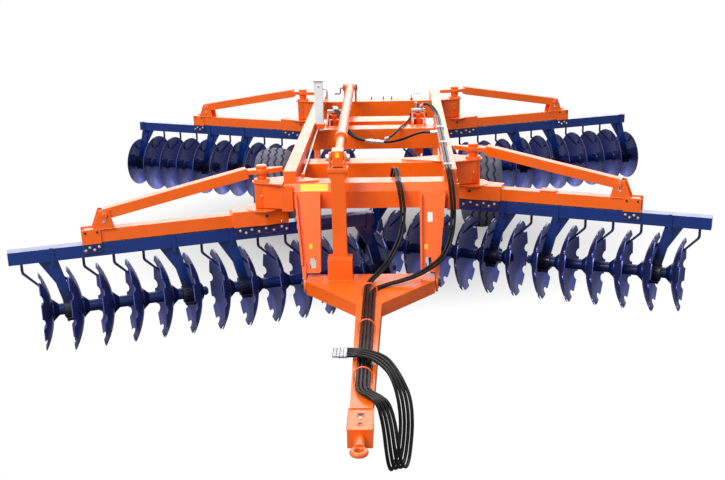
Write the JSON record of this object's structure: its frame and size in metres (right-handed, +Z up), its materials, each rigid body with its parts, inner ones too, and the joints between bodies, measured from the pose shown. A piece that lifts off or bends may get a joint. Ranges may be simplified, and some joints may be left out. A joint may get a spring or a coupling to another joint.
{
  "type": "disc harrow",
  "caption": "Trailed disc harrow in an X layout: folding gangs of dished discs on beams with bearing standards, rail frame, hinged drawbar with top link, lift wheels and hoses.",
  "frame": {"origin": "on the ground at the middle of the machine's box, without the free hoses", "axes": "+Y to the rear, +Z up, the hitch eye at -Y"},
  "size_m": [6.2632, 7.8958, 1.702],
  "materials": {
    "orange_paint": "gloss enamel",
    "blue_paint": "gloss enamel",
    "disc_steel": "painted disc steel",
    "spool_iron": "painted casting",
    "rim_paint": "silver paint",
    "zinc": "galvanised",
    "tyre_rubber": "matt rubber",
    "hose_rubber": "matt rubber"
  },
  "bodies": {
    "frame": {"front_crossbeam": "orange_paint", "second_crossbeam": "orange_paint", "axle_crossbeam": "orange_paint", "rear_crossbeam": "orange_paint", "rail_left": "orange_paint", "rail_right": "orange_paint", "leg_left": "orange_paint", "leg_right": "orange_paint", "axle_hangers": "orange_paint", "parking_jack": "zinc", "hose_run": "hose_rubber", "hose_span": "hose_rubber"},
    "drawbar": {"drawbar": "orange_paint", "mast": "orange_paint", "hitch_eye": "orange_paint", "hose_guides": "orange_paint", "hose_bundle": "hose_rubber", "hose_loop": "hose_rubber", "couplings": "zinc"},
    "link_barrel": {"link_tube": "orange_paint"},
    "link_piston": {"link_rod": "orange_paint"},
    "rocker": {"rockshaft": "orange_paint"},
    "lift_cyl_left": {"lift_barrel_left": "orange_paint"},
    "lift_cyl_right": {"lift_barrel_right": "orange_paint"},
    "lift_piston_left": {"lift_rod_left": "zinc"},
    "lift_piston_right": {"lift_rod_right": "zinc"},
    "wheel_left": {"tyre_left": "tyre_rubber", "rim_left": "rim_paint"},
    "wheel_right": {"tyre_right": "tyre_rubber", "rim_right": "rim_paint"},
    "gang_fl": {"boom_fl": "orange_paint", "strut_fl": "orange_paint", "beam_fl": "blue_paint"},
    "string_fl_out": {"discs_fl_out": "disc_steel", "shaft_fl_out": "spool_iron"},
    "string_fl_in": {"discs_fl_in": "disc_steel", "shaft_fl_in": "spool_iron"},
    "gang_fr": {"boom_fr": "orange_paint", "strut_fr": "orange_paint", "beam_fr": "blue_paint"},
    "string_fr_out": {"discs_fr_out": "disc_steel", "shaft_fr_out": "spool_iron"},
    "string_fr_in": {"discs_fr_in": "disc_steel", "shaft_fr_in": "spool_iron"},
    "gang_rl": {"boom_rl": "orange_paint", "strut_rl": "orange_paint", "beam_rl": "blue_paint"},
    "string_rl_out": {"discs_rl_out": "disc_steel", "shaft_rl_out": "spool_iron"},
    "string_rl_in": {"discs_rl_in": "disc_steel", "shaft_rl_in": "spool_iron"},
    "gang_rr": {"boom_rr": "orange_paint", "strut_rr": "orange_paint", "beam_rr": "blue_paint"},
    "string_rr_out": {"discs_rr_out": "disc_steel", "shaft_rr_out": "spool_iron"},
    "string_rr_in": {"discs_rr_in": "disc_steel", "shaft_rr_in": "spool_iron"}
  },
  "joints": [
    {"name": "fold_fl", "type": "hinge", "parent": "frame", "child": "gang_fl", "pos_m": [-0.865, -0.88191, 1.085], "axis": [0, 0, 1], "range_deg": [0, 70]},
    {"name": "fold_fr", "type": "hinge", "parent": "frame", "child": "gang_fr", "pos_m": [0.865, -0.17191, 1.085], "axis": [0, 0, -1], "range_deg": [0, 70]},
    {"name": "fold_rl", "type": "hinge", "parent": "frame", "child": "gang_rl", "pos_m": [-0.865, 2.90509, 1.085], "axis": [0, 0, -1], "range_deg": [0, 70]},
    {"name": "fold_rr", "type": "hinge", "parent": "frame", "child": "gang_rr", "pos_m": [0.865, 2.90509, 1.085], "axis": [0, 0, 1], "range_deg": [0, 70]},
    {"name": "roll_fl_out", "type": "hinge", "parent": "gang_fl", "child": "string_fl_out", "pos_m": [-1.89866, -1.25813, 0.33], "axis": [-0.9397, -0.342, 0], "continuous": true},
    {"name": "roll_fl_in", "type": "hinge", "parent": "gang_fl", "child": "string_fl_in", "pos_m": [-0.67706, -0.81351, 0.33], "axis": [-0.9397, -0.342, 0], "continuous": true},
    {"name": "roll_fr_out", "type": "hinge", "parent": "gang_fr", "child": "string_fr_out", "pos_m": [1.89866, -0.54813, 0.33], "axis": [0.9397, -0.342, 0], "continuous": true},
    {"name": "roll_fr_in", "type": "hinge", "parent": "gang_fr", "child": "string_fr_in", "pos_m": [0.67706, -0.1035, 0.33], "axis": [0.9397, -0.342, 0], "continuous": true},
    {"name": "roll_rl_out", "type": "hinge", "parent": "gang_rl", "child": "string_rl_out", "pos_m": [-1.89866, 3.28131, 0.33], "axis": [-0.9397, 0.342, 0], "continuous": true},
    {"name": "roll_rl_in", "type": "hinge", "parent": "gang_rl", "child": "string_rl_in", "pos_m": [-0.67706, 2.83669, 0.33], "axis": [-0.9397, 0.342, 0], "continuous": true},
    {"name": "roll_rr_out", "type": "hinge", "parent": "gang_rr", "child": "string_rr_out", "pos_m": [1.89866, 3.28131, 0.33], "axis": [0.9397, 0.342, 0], "continuous": true},
    {"name": "roll_rr_in", "type": "hinge", "parent": "gang_rr", "child": "string_rr_in", "pos_m": [0.67706, 2.83669, 0.33], "axis": [0.9397, 0.342, 0], "continuous": true},
    {"name": "drawbar_hinge", "type": "hinge", "parent": "frame", "child": "drawbar", "pos_m": [0, -1.21491, 0.435], "axis": [1, 0, 0], "range_deg": [-4, 8], "deforming": ["hose_span"]},
    {"name": "wheel_lift", "type": "hinge", "parent": "frame", "child": "rocker", "pos_m": [0, 1.25509, 0.8], "axis": [-1, 0, 0], "range_deg": [-10, 25]},
    {"name": "wheel_spin_left", "type": "hinge", "parent": "rocker", "child": "wheel_left", "pos_m": [-1.09, 1.80509, 0.437], "axis": [1, 0, 0], "continuous": true},
    {"name": "wheel_spin_right", "type": "hinge", "parent": "rocker", "child": "wheel_right", "pos_m": [1.09, 1.80509, 0.437], "axis": [1, 0, 0], "continuous": true},
    {"name": "link_swing", "type": "hinge", "parent": "frame", "child": "link_barrel", "pos_m": [-0.32, 2.85509, 1.335], "axis": [1, 0, 0], "range_deg": [-3, 3]},
    {"name": "link_slide", "type": "slide", "parent": "link_barrel", "child": "link_piston", "axis": [0.021, -0.9994, 0.0271], "range_m": [-0.12, 0.25]},
    {"name": "lift_swing_left", "type": "hinge", "parent": "frame", "child": "lift_cyl_left", "pos_m": [-0.43, 1.65509, 1.24], "axis": [-1, 0, 0], "range_deg": [-6, 10]},
    {"name": "lift_slide_left", "type": "slide", "parent": "lift_cyl_left", "child": "lift_piston_left", "axis": [0, -0.0517, -0.9987], "range_m": [-0.1, 0.2]},
    {"name": "lift_swing_right", "type": "hinge", "parent": "frame", "child": "lift_cyl_right", "pos_m": [0.43, 1.65509, 1.24], "axis": [-1, 0, 0], "range_deg": [-6, 10]},
    {"name": "lift_slide_right", "type": "slide", "parent": "lift_cyl_right", "child": "lift_piston_right", "axis": [0, -0.0517, -0.9987], "range_m": [-0.1, 0.2]}
  ],
  "couplings": [
    {"joint": "link_swing", "follows": "drawbar_hinge", "ratio": 0.012},
    {"joint": "link_slide", "follows": "drawbar_hinge", "m_per_rad": 1.01},
    {"joint": "lift_swing_left", "follows": "wheel_lift", "ratio": 0.248},
    {"joint": "lift_slide_left", "follows": "wheel_lift", "m_per_rad": 0.36},
    {"joint": "lift_swing_right", "follows": "wheel_lift", "ratio": 0.248},
    {"joint": "lift_slide_right", "follows": "wheel_lift", "m_per_rad": 0.36},
    {"joint": "fold_fr", "follows": "fold_fl", "ratio": 1}
  ]
}
